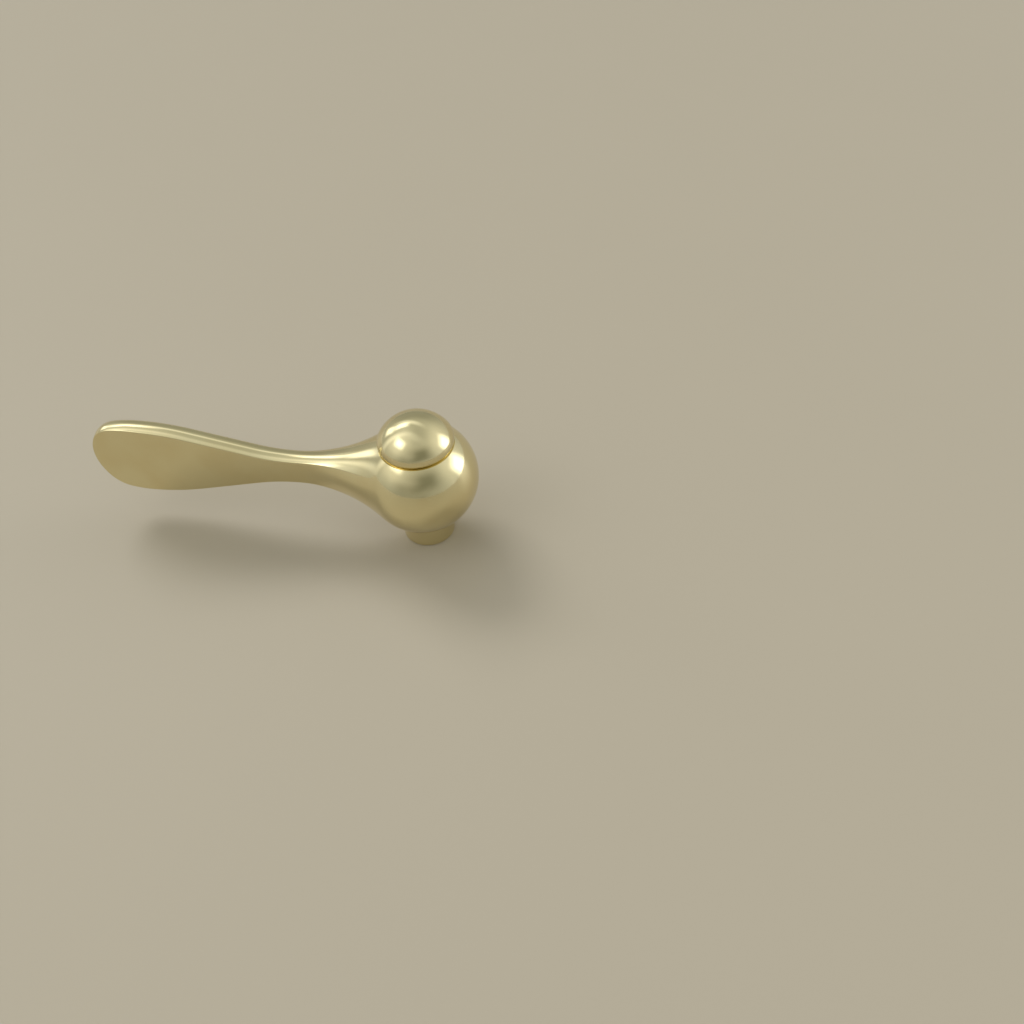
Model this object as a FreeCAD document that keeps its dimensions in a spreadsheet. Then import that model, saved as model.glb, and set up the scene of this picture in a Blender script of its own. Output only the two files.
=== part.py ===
"""Lever handle for a tap: a brass casting with a ball hub and a paddle, its domed cap and fixings.

Frame: the spindle axis is Z, the foot of the collar is at Z = 0, and the lever reaches out along -X with
its broad flat faces towards -Y and +Y.
"""
import FreeCAD, Part

import math
import os

import Sketcher
from FreeCAD import Vector

SIZES = (
    ("ball_dia", 28.0, "ball of the hub"),
    ("ball_height", 18.75, "ball centre above the foot of the collar"),
    ("collar_dia", 13.0, "round collar under the ball"),
    ("collar_chamfer", 0.4, "outer edge of the collar's foot"),
    ("lever_reach", 84.3, "spindle axis to the tip of the lever"),
    ("neck_reach", 31.0, "spindle axis to the narrowest place of the neck"),
    ("neck_dia", 8.1, "round of the neck, over its crowned top and bottom"),
    ("flat_lead", 1.0, "flat sides begin this far before the neck's narrowest place"),
    ("flare_edge_angle", 37.0, "edge of the sides above the lever's axis, where it comes out of the ball"),
    ("blade_thickness", 4.5, "between the two flat sides of the lever"),
    ("blade_height", 21.4, "paddle at its widest, over the crowned edges"),
    ("widest_reach", 72.0, "spindle axis to the paddle's widest place"),
    ("waist_radius", 47.0, "hollow of the outline between neck and paddle"),
    ("flank_length", 15.8, "straight stretch of the outline after the waist"),
    ("brow_radius", 26.0, "outline from the widest place towards the end"),
    ("tip_corner_radius", 7.5, "rounded corners of the paddle's end"),
    ("tip_bow", 0.7, "how far the end bows out past its corners"),
    ("tip_crown", 0.2, "how far the crown of the edge stands out at the tip"),
    ("relief_reach", 66.0, "spindle axis to where the paddle begins to thin towards its tip"),
    ("relief_radius", 230.0, "curve of both sides from there to the tip"),
    ("relief_angle", 0.3, "slope at which that curve leaves the flat side"),
    ("cap_dia", 18.25, "domed cap at its seat on the ball"),
    ("cap_rise", 7.65, "top of the dome above the seat"),
    ("cap_wall", 0.9, "upright edge of the cap above the seat"),
    ("cap_shoulder_radius", 4.5, "dome between that edge and its flatter crown"),
    ("cap_rim_chamfer", 0.2, "lower edge of the cap, which shows as the seam"),
    ("cap_bore_dia", 14.4, "counterbore that takes the cap's spigot"),
    ("cap_bore_depth", 5.2, "depth of that counterbore below the seat"),
    ("spigot_clearance", 0.1, "spigot to counterbore, on the radius"),
    ("spigot_chamfer", 0.3, "lower edge of the spigot"),
    ("spigot_end_gap", 0.4, "end of the spigot to the counterbore's floor"),
    ("cap_hollow_dia", 10.0, "drilled hollow of the cap"),
    ("cap_hollow_rise", 2.5, "straight part of the hollow above the seat"),
    ("drill_point_angle", 118.0, "point of the drill that made the hollow"),
    ("ring_section", 1.06, "cord of the seal ring"),
    ("ring_clearance", 0.02, "seal ring to its groove and to the bore"),
    ("ring_side_room", 0.5, "width of the groove beyond the ring's cord"),
    ("spline_dia", 8.1, "spindle socket at the bottom of its grooves"),
    ("spline_depth", 0.4, "depth of a groove"),
    ("spline_count", 20, "grooves round the socket"),
    ("groove_angle", 70.0, "between the two flanks of a groove"),
    ("groove_floor", 0.2, "width of a groove's floor"),
    ("lead_clearance", 0.15, "lead-in bore beyond the splines, on the radius"),
    ("lead_depth", 5.0, "plain lead-in bore below the splines"),
    ("web_thickness", 3.5, "floor between the socket and the screw's well"),
    ("well_depth", 4.65, "screw's well below the counterbore"),
    ("well_clearance", 0.5, "well round the washer, on the radius"),
    ("washer_dia", 9.0, "washer under the screw's head"),
    ("washer_thickness", 0.8, "washer"),
    ("washer_clearance", 0.15, "washer's hole round the screw, on the radius"),
    ("screw_dia", 4.0, "fixing screw"),
    ("screw_length", 12.0, "fixing screw below its head"),
    ("screw_clearance", 0.25, "web's hole round the screw, on the radius"),
    ("screw_point_chamfer", 0.5, "end of the screw"),
    ("head_dia", 8.0, "head of the screw"),
    ("head_height", 2.4, "head of the screw"),
    ("head_edge_height", 1.3, "straight edge of the head below its rounded top"),
    ("slot_width", 1.2, "driver slot"),
    ("slot_depth", 1.0, "driver slot"),
)
CUT_RUN_OUT = "1"      # how far a cutting core stands out of the casting, beyond its mouths
CROWN_LEVELS = (-1.0, -0.7, -0.35, 0.0, 0.35, 0.7, 1.0)   # sections across the lever's thickness
FLARE_STEPS = (0.0, 0.08, 0.18, 0.3, 0.45, 0.6, 0.8, 1.0)  # sections from the ball to the flat sides
NECK_STEP = 0.5        # section half way along the flat stretch of the neck
RIDGE_SPAN = "1.5"     # height of a groove's ridge, from inside the core, in groove depths
JOIN_TOLERANCE = 1e-4
ON_AXIS = "0"          # centre of an arc that turns round the spindle axis as part of a ball

doc = FreeCAD.newDocument("tap_handle")
sheet = doc.addObject("Spreadsheet::Sheet", "Sizes")
for row, (alias, value, note) in enumerate(SIZES, start=1):
    sheet.set(f"A{row}", alias)
    sheet.set(f"B{row}", str(value))
    sheet.setAlias(f"B{row}", alias)
    sheet.set(f"C{row}", note)
doc.recompute()

# Heights on the spindle axis, as expressions on the driving dimensions.
SEAT = "(Sizes.ball_height + sqrt(Sizes.ball_dia^2 - Sizes.cap_dia^2) / 2)"
BORE_FLOOR = f"({SEAT} - Sizes.cap_bore_depth)"
WEB_TOP = f"({BORE_FLOOR} - Sizes.well_depth)"
WEB_FOOT = f"({WEB_TOP} - Sizes.web_thickness)"
HEAD_FOOT = f"({WEB_TOP} + Sizes.washer_thickness)"
HEAD_TOP = f"({HEAD_FOOT} + Sizes.head_height)"
SCREW_END = f"({HEAD_FOOT} - Sizes.screw_length)"
BALL_TOP = "(Sizes.ball_height + Sizes.ball_dia / 2)"
SPIGOT_FOOT = f"({BORE_FLOOR} + Sizes.spigot_end_gap)"
RING_HEIGHT = f"(({SEAT} + {SPIGOT_FOOT}) / 2)"

# Radii, those that two pieces share with their clearance.
BALL = "(Sizes.ball_dia / 2)"
COLLAR = "(Sizes.collar_dia / 2)"
CAP = "(Sizes.cap_dia / 2)"
CAP_BORE = "(Sizes.cap_bore_dia / 2)"
SPIGOT = f"({CAP_BORE} - Sizes.spigot_clearance)"
GROOVE_BED = f"({CAP_BORE} - Sizes.ring_section - 2 * Sizes.ring_clearance)"
RING_CENTRE = f"({GROOVE_BED} + Sizes.ring_clearance + Sizes.ring_section / 2)"
HOLLOW = "(Sizes.cap_hollow_dia / 2)"
SHOULDER_CENTRE = f"({CAP} - Sizes.cap_shoulder_radius)"
CREST = "(Sizes.spline_dia / 2 - Sizes.spline_depth)"
LEAD = "(Sizes.spline_dia / 2 + Sizes.lead_clearance)"
SCREW = "(Sizes.screw_dia / 2)"
SCREW_HOLE = f"({SCREW} + Sizes.screw_clearance)"
WASHER_HOLE = f"({SCREW} + Sizes.washer_clearance)"
WASHER = "(Sizes.washer_dia / 2)"
WELL = f"({WASHER} + Sizes.well_clearance)"
HEAD = "(Sizes.head_dia / 2)"


def size(alias):
    """Value of one driving dimension, in millimetres or degrees."""
    return float(sheet.get(alias))


def worked_out(expression):
    """Number that an expression on the sheet gives."""
    result = sheet.evalExpression(expression)
    return float(getattr(result, "Value", result))


def new_body(label):
    """Empty body with a label of its own."""
    body = doc.addObject("PartDesign::Body", label)
    body.Label = label
    return body


def flat_sketch(body, name, role, height="0"):
    """Empty sketch on one of the body's origin planes, lifted along that plane's normal."""
    sketch = body.newObject("Sketcher::SketchObject", name)
    support = next(item for item in body.Origin.OriginFeatures if item.Role == role)
    sketch.AttachmentSupport = (support, "")
    sketch.MapMode = "FlatFace"
    sketch.setExpression("AttachmentOffset.Base.z", height)
    return sketch


def pin_distance(sketch, kind, edge, point, expression):
    """Hold a point of a sketch edge, its start or its centre, at a distance from the sketch's origin."""
    index = sketch.addConstraint(Sketcher.Constraint(kind, -1, 1, edge, point, worked_out(expression)))
    sketch.setExpression(f"Constraints[{index}]", expression)


def closed_outline(sketch, corners, arcs=None):
    """Counter-clockwise outline through corners given as pairs of expressions.

    The edges whose numbers are in arcs are round, and arcs gives their centre's distance from the
    sketch's upright axis.
    """
    arcs = arcs or {}
    points = [Vector(worked_out(across), worked_out(up), 0) for across, up in corners]
    following = points[1:] + points[:1]
    for edge, (start, end) in enumerate(zip(points, following)):
        if edge in arcs:
            foot = Vector(worked_out(arcs[edge]), 0, 0)
            height = ((end - foot).Length ** 2 - (start - foot).Length ** 2) / (2 * (end.y - start.y))
            centre = foot + Vector(0, height, 0)
            angles = [math.atan2(point.y - centre.y, point.x - centre.x) for point in (start, end)]
            circle = Part.Circle(centre, Vector(0, 0, 1), (start - centre).Length)
            sketch.addGeometry(Part.ArcOfCircle(circle, *angles))
        else:
            sketch.addGeometry(Part.LineSegment(start, end))
    for edge, (across, up) in enumerate(corners):
        sketch.addConstraint(Sketcher.Constraint("Coincident", edge, 2, (edge + 1) % len(corners), 1))
        pin_distance(sketch, "DistanceX", edge, 1, across)
        pin_distance(sketch, "DistanceY", edge, 1, up)
        if arcs.get(edge) == ON_AXIS:
            sketch.addConstraint(Sketcher.Constraint("PointOnObject", edge, 3, -2))
        elif edge in arcs:
            pin_distance(sketch, "DistanceX", edge, 3, arcs[edge])


def check_cut(feature, volume_before):
    """Stop if a feature that should take material away left all of it."""
    if not feature.Shape.Volume < volume_before:
        raise RuntimeError("cut nothing: " + feature.Name)


def turn(body, name, corners, arcs=None, kind="Revolution"):
    """Outline in the XZ plane turned once round the spindle axis, as a solid or as a groove in one."""
    sketch = flat_sketch(body, name + "_outline", "XZ_Plane")
    closed_outline(sketch, corners, arcs)
    before = 0.0 if kind == "Revolution" else body.Shape.Volume
    feature = body.newObject("PartDesign::" + kind, name)
    feature.Profile = sketch
    feature.ReferenceAxis = (sketch, ["V_Axis"])
    feature.Angle = 360.0
    doc.recompute()
    if kind == "Groove":
        check_cut(feature, before)


def hub_blank():
    """Ball with its flat cap seat and the collar under it, turned round the spindle axis."""
    body = new_body("hub_blank")
    shoulder = f"Sizes.ball_height - sqrt({BALL}^2 - {COLLAR}^2)"
    corners = (
        ("0", "0"),
        (f"{COLLAR} - Sizes.collar_chamfer", "0"),
        (COLLAR, "Sizes.collar_chamfer"),
        (COLLAR, shoulder),
        (CAP, SEAT),
        ("0", SEAT),
    )
    turn(body, "hub_turning", corners, arcs={3: ON_AXIS})
    return body


def socket_core():
    """Everything that is hollow along the spindle axis, from the splined socket up to the cap's seat."""
    body = new_body("socket_core")
    corners = (
        ("0", f"-{CUT_RUN_OUT}"),
        (LEAD, f"-{CUT_RUN_OUT}"),
        (LEAD, "Sizes.lead_depth"),
        (CREST, "Sizes.lead_depth"),
        (CREST, WEB_FOOT),
        (SCREW_HOLE, WEB_FOOT),
        (SCREW_HOLE, WEB_TOP),
        (WELL, WEB_TOP),
        (WELL, BORE_FLOOR),
        (CAP_BORE, BORE_FLOOR),
        (CAP_BORE, SEAT),
        (f"{CAP} + {CUT_RUN_OUT}", SEAT),
        (f"{CAP} + {CUT_RUN_OUT}", BALL_TOP),
        ("0", BALL_TOP),
    )
    turn(body, "bore_turning", corners)

    # One groove of the socket is a tapered ridge on this core, and the rest are turned copies of it.
    root = "Sizes.spline_dia / 2"
    foot = f"({root} - {RIDGE_SPAN} * Sizes.spline_depth)"
    half_floor = "Sizes.groove_floor / 2"
    half_foot = f"({half_floor} + {RIDGE_SPAN} * Sizes.spline_depth * tan(Sizes.groove_angle / 2 * 1 deg))"
    sketch = flat_sketch(body, "groove_outline", "XY_Plane", "Sizes.lead_depth")
    closed_outline(sketch, (
        (foot, f"-{half_foot}"),
        (root, f"-{half_floor}"),
        (root, half_floor),
        (foot, half_foot),
    ))
    ridge = body.newObject("PartDesign::Pad", "groove_ridge")
    ridge.Profile = sketch
    ridge.setExpression("Length", f"{WEB_FOOT} - Sizes.lead_depth")
    doc.recompute()
    ring = body.newObject("PartDesign::PolarPattern", "groove_ring")
    ring.Originals = [ridge]
    ring.Axis = (sketch, ["N_Axis"])
    ring.Angle = 360.0
    ring.setExpression("Occurrences", "Sizes.spline_count")
    body.Tip = ring
    doc.recompute()
    return body


class Lever:
    """Sizes of the lever that follow from the driving dimensions, and its surfaces.

    Distances along the lever are measured from the spindle axis, heights from the lever's own axis,
    which runs through the ball's centre. The neck is a round bar with two flat sides, and its round
    carries on as the crown of the paddle's edge.
    """

    def __init__(self):
        self.axis_height = size("ball_height")
        self.ball = size("ball_dia") / 2
        self.neck = size("neck_dia") / 2
        self.side = size("blade_thickness") / 2
        self.neck_reach = size("neck_reach")
        self.flat_reach = self.neck_reach - size("flat_lead")
        self.neck_face = math.sqrt(self.neck ** 2 - self.side ** 2)
        crown = self.neck - self.neck_face
        self.blade_face = size("blade_height") / 2 - crown
        self.tip_face = size("lever_reach") - size("tip_crown")
        self.tip_share = size("tip_crown") / crown

        # The flare's hollow is one arc, tangent to the ball and to the neck.
        span = self.neck_reach ** 2 + self.neck ** 2 - self.ball ** 2
        self.flare = span / (2 * (self.ball - self.neck))
        self.flare_start = self.neck_reach * self.ball / (self.ball + self.flare)

        # The paddle's outline starts with a hollow waist, a straight flank and a shoulder, each tangent to
        # the next, and a rounder brow goes on from the widest place.
        self.widest = size("widest_reach")
        self.waist = size("waist_radius")
        self.brow = size("brow_radius")
        self.corner = size("tip_corner_radius")
        self.bow = size("tip_bow")
        run, rise = self.widest - self.neck_reach, self.blade_face - self.neck_face
        both = (run ** 2 + rise ** 2 - size("flank_length") ** 2) / (2 * rise)
        self.shoulder = both - self.waist
        self.waist_centre = Vector(self.neck_reach, self.neck_face + self.waist, 0)
        self.shoulder_centre = Vector(self.widest, self.blade_face - self.shoulder, 0)
        self.brow_centre = Vector(self.widest, self.blade_face - self.brow, 0)
        angle = math.atan2(rise - both, run) - math.atan2(size("flank_length"), both)
        self.flank_side = Vector(math.cos(angle), math.sin(angle), 0)

    def place(self, along, across, height):
        """Point of the lever in the part's frame."""
        return Vector(-along, across, self.axis_height + height)

    def edge(self, *points):
        """Straight edge through two points, or round one through three, along, across and up."""
        placed = [self.place(*point) for point in points]
        return Part.makeLine(*placed) if len(placed) == 2 else Part.Arc(*placed).toShape()

    def outline(self, across):
        """Paddle's outline at one level of its thickness, from the neck's top round to its bottom.

        The crown swells the outline outwards, and less so at the tip.
        """
        swell = math.sqrt(self.neck ** 2 - across ** 2) - self.neck_face
        tip = self.tip_face + swell * self.tip_share
        tip_length = self.corner + self.bow
        lean = tip - tip_length - self.widest
        corner_height = self.brow_centre.y + math.sqrt((self.brow + swell - self.corner) ** 2 - lean ** 2)
        corner_centre = Vector(self.widest + lean, corner_height, 0)
        end = (tip_length ** 2 + corner_height ** 2 - self.corner ** 2) / (2 * self.bow)
        end_centre = Vector(tip - end, 0, 0)

        start = Vector(self.neck_reach, self.neck_face + swell, 0)
        flank_foot = self.waist_centre + self.flank_side * (self.waist - swell)
        flank_top = self.shoulder_centre - self.flank_side * (self.shoulder + swell)
        peak = Vector(self.widest, self.blade_face + swell, 0)
        brow_end = self.brow_centre + (corner_centre - self.brow_centre).normalize() * (self.brow + swell)
        turn_in = end_centre + (corner_centre - end_centre).normalize() * end
        upper = (
            (start, self.waist_centre, flank_foot),
            (flank_foot, None, flank_top),
            (flank_top, self.shoulder_centre, peak),
            (peak, self.brow_centre, brow_end),
            (brow_end, corner_centre, turn_in),
        )
        edges = []
        for first, centre, last in upper:
            points = [first, last]
            if centre is not None:
                middle = centre + ((first + last) * 0.5 - centre).normalize() * (first - centre).Length
                points.insert(1, middle)
            edges.append([(point.x, across, point.y) for point in points])
        lower = [[(x, y, -height) for x, y, height in reversed(edge)] for edge in reversed(edges)]
        end_arc = [edges[-1][-1], (tip, across, 0), lower[0][0]]
        return Part.Wire([self.edge(*points) for points in edges + [end_arc] + lower])

    def section(self, along):
        """Section of the flare or the neck: round at the ball, with flat sides at the neck."""
        radius = self.neck + self.flare - math.sqrt(self.flare ** 2 - (self.neck_reach - along) ** 2)
        share = min(1.0, (along - self.flare_start) / (self.flat_reach - self.flare_start))
        flatness = share * share * (3 - 2 * share)
        if share < 1.0:
            flat_radius = self.neck + self.flare - math.sqrt(
                self.flare ** 2 - (self.neck_reach - self.flat_reach) ** 2)
            round_angle = math.radians(size("flare_edge_angle"))
            angle = round_angle + (math.acos(self.side / flat_radius) - round_angle) * flatness
        else:
            angle = math.acos(self.side / radius)
        half, high = radius * math.cos(angle), radius * math.sin(angle)
        bulge = half + (radius - half) * (1 - flatness)
        corners = [(along, -half, high), (along, half, high), (along, half, -high), (along, -half, -high)]
        top = self.edge(corners[0], (along, 0, radius), corners[1])
        foot = self.edge(corners[2], (along, 0, -radius), corners[3])
        if share < 1.0:
            back = self.edge(corners[1], (along, bulge, 0), corners[2])
            front = self.edge(corners[3], (along, -bulge, 0), corners[0])
        else:
            back = self.edge(corners[1], corners[2])
            front = self.edge(corners[3], corners[0])
        return Part.Wire([top, back, foot, front])

    def paddle_section(self, level):
        """Closed outline of the paddle, cut off square at the neck, at one level of its thickness."""
        outline = self.outline(level * self.side)
        ends = [vertex.Point for vertex in outline.OrderedVertexes]
        return Part.Wire(outline.Edges + [Part.makeLine(ends[-1], ends[0])])

    def side_relief(self, facing):
        """Block outside one side of the paddle's outer part, which is a little thinner at the tip."""
        radius, angle = size("relief_radius"), math.radians(size("relief_angle"))
        first, last = size("relief_reach"), size("lever_reach") + self.side
        centre, depth = first - radius * math.sin(angle), self.side - radius * math.cos(angle)
        curve = [(along, depth + math.sqrt(radius ** 2 - (along - centre) ** 2))
                 for along in (first, (first + last) / 2, last)]
        corners = [curve[2], (last, 2 * self.side), (first, 2 * self.side), curve[0]]
        low = -size("blade_height")
        sides = [curve] + list(zip(corners, corners[1:]))
        edges = [self.edge(*[(along, facing * across, low) for along, across in side]) for side in sides]
        return Part.Face(Part.Wire(edges)).extrude(Vector(0, 0, -2 * low))

    def solid(self):
        """Flare and neck lofted along the lever, joined to the paddle lofted through its thickness."""
        stations = [self.flare_start + step * (self.flat_reach - self.flare_start) for step in FLARE_STEPS]
        stations += [self.flat_reach + NECK_STEP * (self.neck_reach - self.flat_reach), self.neck_reach]
        flare = Part.makeLoft([self.section(along) for along in stations], True)
        paddle = Part.makeLoft([self.paddle_section(level) for level in CROWN_LEVELS], True)
        lever = flare.fuse([paddle], JOIN_TOLERANCE)
        return lever.cut([self.side_relief(facing) for facing in (1, -1)])


def handle_body():
    """Casting of hub and lever, with everything hollow along the spindle axis taken out."""
    hub = hub_blank()
    lever = doc.addObject("Part::Feature", "lever")
    lever.Shape = Lever().solid()
    casting = doc.addObject("Part::Fuse", "casting")
    casting.Base = hub
    casting.Tool = lever
    body = doc.addObject("Part::Cut", "handle_body")
    body.Base = casting
    body.Tool = socket_core()
    return body


def index_cap():
    """Domed cap with a drilled hollow, and a spigot with a groove for its seal ring."""
    body = new_body("index_cap")

    # The shoulder is tangent to the upright edge, and the crown's arc goes on from it to the pole.
    dome = "(Sizes.cap_rise - Sizes.cap_wall)"
    shoulder = "Sizes.cap_shoulder_radius"
    crown = f"(({SHOULDER_CENTRE}^2 + {dome}^2 - {shoulder}^2) / (2 * ({dome} - {shoulder})))"
    share = f"({crown} / ({crown} - {shoulder}))"
    join_height = f"{SEAT} + Sizes.cap_rise - {crown} + ({crown} - {dome}) * {share}"
    turn(body, "cap_turning", (
        ("0", SPIGOT_FOOT),
        (f"{SPIGOT} - Sizes.spigot_chamfer", SPIGOT_FOOT),
        (SPIGOT, f"{SPIGOT_FOOT} + Sizes.spigot_chamfer"),
        (SPIGOT, SEAT),
        (f"{CAP} - Sizes.cap_rim_chamfer", SEAT),
        (CAP, f"{SEAT} + Sizes.cap_rim_chamfer"),
        (CAP, f"{SEAT} + Sizes.cap_wall"),
        (f"{SHOULDER_CENTRE} * {share}", join_height),
        ("0", f"{SEAT} + Sizes.cap_rise"),
    ), arcs={6: SHOULDER_CENTRE, 7: ON_AXIS})
    half_width = "(Sizes.ring_section + Sizes.ring_side_room) / 2"
    turn(body, "ring_groove", (
        (GROOVE_BED, f"{RING_HEIGHT} - {half_width}"),
        (f"{SPIGOT} + {CUT_RUN_OUT}", f"{RING_HEIGHT} - {half_width}"),
        (f"{SPIGOT} + {CUT_RUN_OUT}", f"{RING_HEIGHT} + {half_width}"),
        (GROOVE_BED, f"{RING_HEIGHT} + {half_width}"),
    ), kind="Groove")
    hollow_top = f"{SEAT} + Sizes.cap_hollow_rise"
    turn(body, "cap_hollow", (
        ("0", f"{SPIGOT_FOOT} - {CUT_RUN_OUT}"),
        (HOLLOW, f"{SPIGOT_FOOT} - {CUT_RUN_OUT}"),
        (HOLLOW, hollow_top),
        ("0", f"{hollow_top} + {HOLLOW} / tan(Sizes.drill_point_angle / 2 * 1 deg)"),
    ), kind="Groove")
    return body


def cap_seal_ring():
    """Rubber ring between the spigot's groove and the counterbore."""
    ring = doc.addObject("Part::Torus", "cap_seal_ring")
    ring.setExpression("Radius1", RING_CENTRE)
    ring.setExpression("Radius2", "Sizes.ring_section / 2")
    ring.setExpression("Placement.Base.z", RING_HEIGHT)
    return ring


def fixing_screw():
    """Slotted pan-head screw, its head down on the washer."""
    body = new_body("fixing_screw")
    turn(body, "screw_turning", (
        ("0", SCREW_END),
        (f"{SCREW} - Sizes.screw_point_chamfer", SCREW_END),
        (SCREW, f"{SCREW_END} + Sizes.screw_point_chamfer"),
        (SCREW, HEAD_FOOT),
        (HEAD, HEAD_FOOT),
        (HEAD, f"{HEAD_FOOT} + Sizes.head_edge_height"),
        ("0", HEAD_TOP),
    ), arcs={5: ON_AXIS})
    sketch = flat_sketch(body, "slot_outline", "XY_Plane", HEAD_TOP)
    reach = f"({HEAD} + {CUT_RUN_OUT})"
    half_width = "Sizes.slot_width / 2"
    closed_outline(sketch, (
        (f"-{reach}", f"-{half_width}"),
        (reach, f"-{half_width}"),
        (reach, half_width),
        (f"-{reach}", half_width),
    ))
    before = body.Shape.Volume
    slot = body.newObject("PartDesign::Pocket", "driver_slot")
    slot.Profile = sketch
    slot.setExpression("Length", "Sizes.slot_depth")
    doc.recompute()
    check_cut(slot, before)
    return body


def screw_washer():
    """Flat washer on the web, under the screw's head."""
    body = new_body("screw_washer")
    turn(body, "washer_turning", (
        (WASHER_HOLE, WEB_TOP),
        (WASHER, WEB_TOP),
        (WASHER, HEAD_FOOT),
        (WASHER_HOLE, HEAD_FOOT),
    ))
    return body


def check_document(pieces):
    """Stop if any object failed, or if a piece is not one valid solid."""
    failed = [item.Name for item in doc.Objects if "Invalid" in item.State or "Error" in item.State]
    if failed:
        raise RuntimeError("failed objects: " + ", ".join(failed))
    for piece in pieces:
        shape = piece.Shape
        if shape.isNull() or not shape.isValid() or len(shape.Solids) != 1:
            raise RuntimeError("not one valid solid: " + piece.Label)


def main():
    """Build the pieces, check them and write one file for each."""
    pieces = [handle_body(), index_cap(), cap_seal_ring(), fixing_screw(), screw_washer()]
    doc.recompute()
    check_document(pieces)
    os.makedirs("parts", exist_ok=True)
    for piece in pieces:
        piece.Shape.exportStep(os.path.join("parts", piece.Label + ".step"))
        box = piece.Shape.optimalBoundingBox()
        print(f"{piece.Label}: {piece.Shape.Volume:.1f} mm3, {len(piece.Shape.Faces)} faces, {box}")


main()
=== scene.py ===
"""Polished brass tap handle on a plain table: fine surfaces, finishes, light and camera.

Sizes are in millimetres until a mesh is made, which is in metres. The spindle axis is the Z axis, with
the foot of the collar at the origin, and the lever points along -X.
"""

import logging
import math
from dataclasses import dataclass, field
from enum import Enum

import bmesh
import bpy
import numpy as np
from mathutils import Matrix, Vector


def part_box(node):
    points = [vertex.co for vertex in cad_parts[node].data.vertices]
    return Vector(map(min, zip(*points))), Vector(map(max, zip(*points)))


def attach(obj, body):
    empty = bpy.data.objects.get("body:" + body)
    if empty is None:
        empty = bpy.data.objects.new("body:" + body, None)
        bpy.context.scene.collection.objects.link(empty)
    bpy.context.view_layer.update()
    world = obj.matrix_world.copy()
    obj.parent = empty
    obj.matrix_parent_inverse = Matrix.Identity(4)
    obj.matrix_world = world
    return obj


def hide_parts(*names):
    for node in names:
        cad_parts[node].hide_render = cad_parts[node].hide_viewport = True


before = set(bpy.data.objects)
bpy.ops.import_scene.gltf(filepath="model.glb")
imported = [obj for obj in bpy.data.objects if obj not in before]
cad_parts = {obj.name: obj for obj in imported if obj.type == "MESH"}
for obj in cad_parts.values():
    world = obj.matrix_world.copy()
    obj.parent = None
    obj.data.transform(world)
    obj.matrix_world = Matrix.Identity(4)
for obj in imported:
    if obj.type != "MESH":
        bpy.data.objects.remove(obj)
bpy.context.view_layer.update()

MILLIMETRE = 0.001
BODY = "root"
MERGE_DISTANCE = 2e-6
SHARP_ANGLE = math.radians(28)
CUT_RUN_OUT = 1.0      # how far a cutting block stands out of the piece that it cuts
BLEND_SHARE = 4.0      # a soft minimum of two curves lowers their meeting by its depth over this
LAMP_AIM = -0.02       # place along X that the lamp points at, in metres

# Least values that keep a division or an arc defined.
LEAST_RADIUS = 1e-6
LEAST_BOW = 1e-4
LEAST_SLOPE = 1e-3
LEAST_DEPTH = 1e-9

Colour = tuple[float, float, float, float]

log = logging.getLogger("tap_handle")


class Slot(Enum):
    """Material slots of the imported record."""

    BRASS = "polished_brass"
    RUBBER = "seal_rubber"
    STEEL = "screw_steel"


class Cut(Enum):
    """How one closed mesh is joined with another."""

    ADD = "UNION"
    TAKE_AWAY = "DIFFERENCE"


# Arrays and meshes.

def smooth_step(share: np.ndarray) -> np.ndarray:
    """Cubic that leaves 0 and reaches 1 without a slope."""
    return share * share * (3.0 - 2.0 * share)


def eased_steps(count: int) -> np.ndarray:
    """Steps from -1 to 1 that close up towards both ends, as the sine of an evenly growing angle."""
    return np.sin(np.linspace(-math.pi / 2, math.pi / 2, count))


def arc_points(centre: tuple[float, float], radius: float, start: float, end: float,
               count: int) -> np.ndarray:
    """Points of a circular arc in a profile's plane.

    Args:
        centre: distance from the spindle axis and height of the arc's centre.
        radius: radius of the arc.
        start: first angle in degrees, from the outward direction towards up.
        end: last angle in degrees.
        count: number of points.

    Returns:
        Array of count pairs of distance and height.
    """
    angle = np.radians(np.linspace(start, end, count))
    return np.stack([centre[0] + radius * np.cos(angle), centre[1] + radius * np.sin(angle)], axis=1)


def grid_quads(rows: int, columns: int, wrap: bool) -> np.ndarray:
    """Quads between neighbouring points of a grid.

    Args:
        rows: number of rows.
        columns: number of points in a row.
        wrap: whether a row's last point joins its first.

    Returns:
        Array of quads, each four indices into the flattened grid.
    """
    index = np.arange(rows * columns).reshape(rows, columns)
    if wrap:
        index = np.concatenate([index, index[:, :1]], axis=1)
    corners = [index[:-1, :-1], index[:-1, 1:], index[1:, 1:], index[1:, :-1]]
    return np.stack([corner.ravel() for corner in corners], axis=1)


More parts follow.
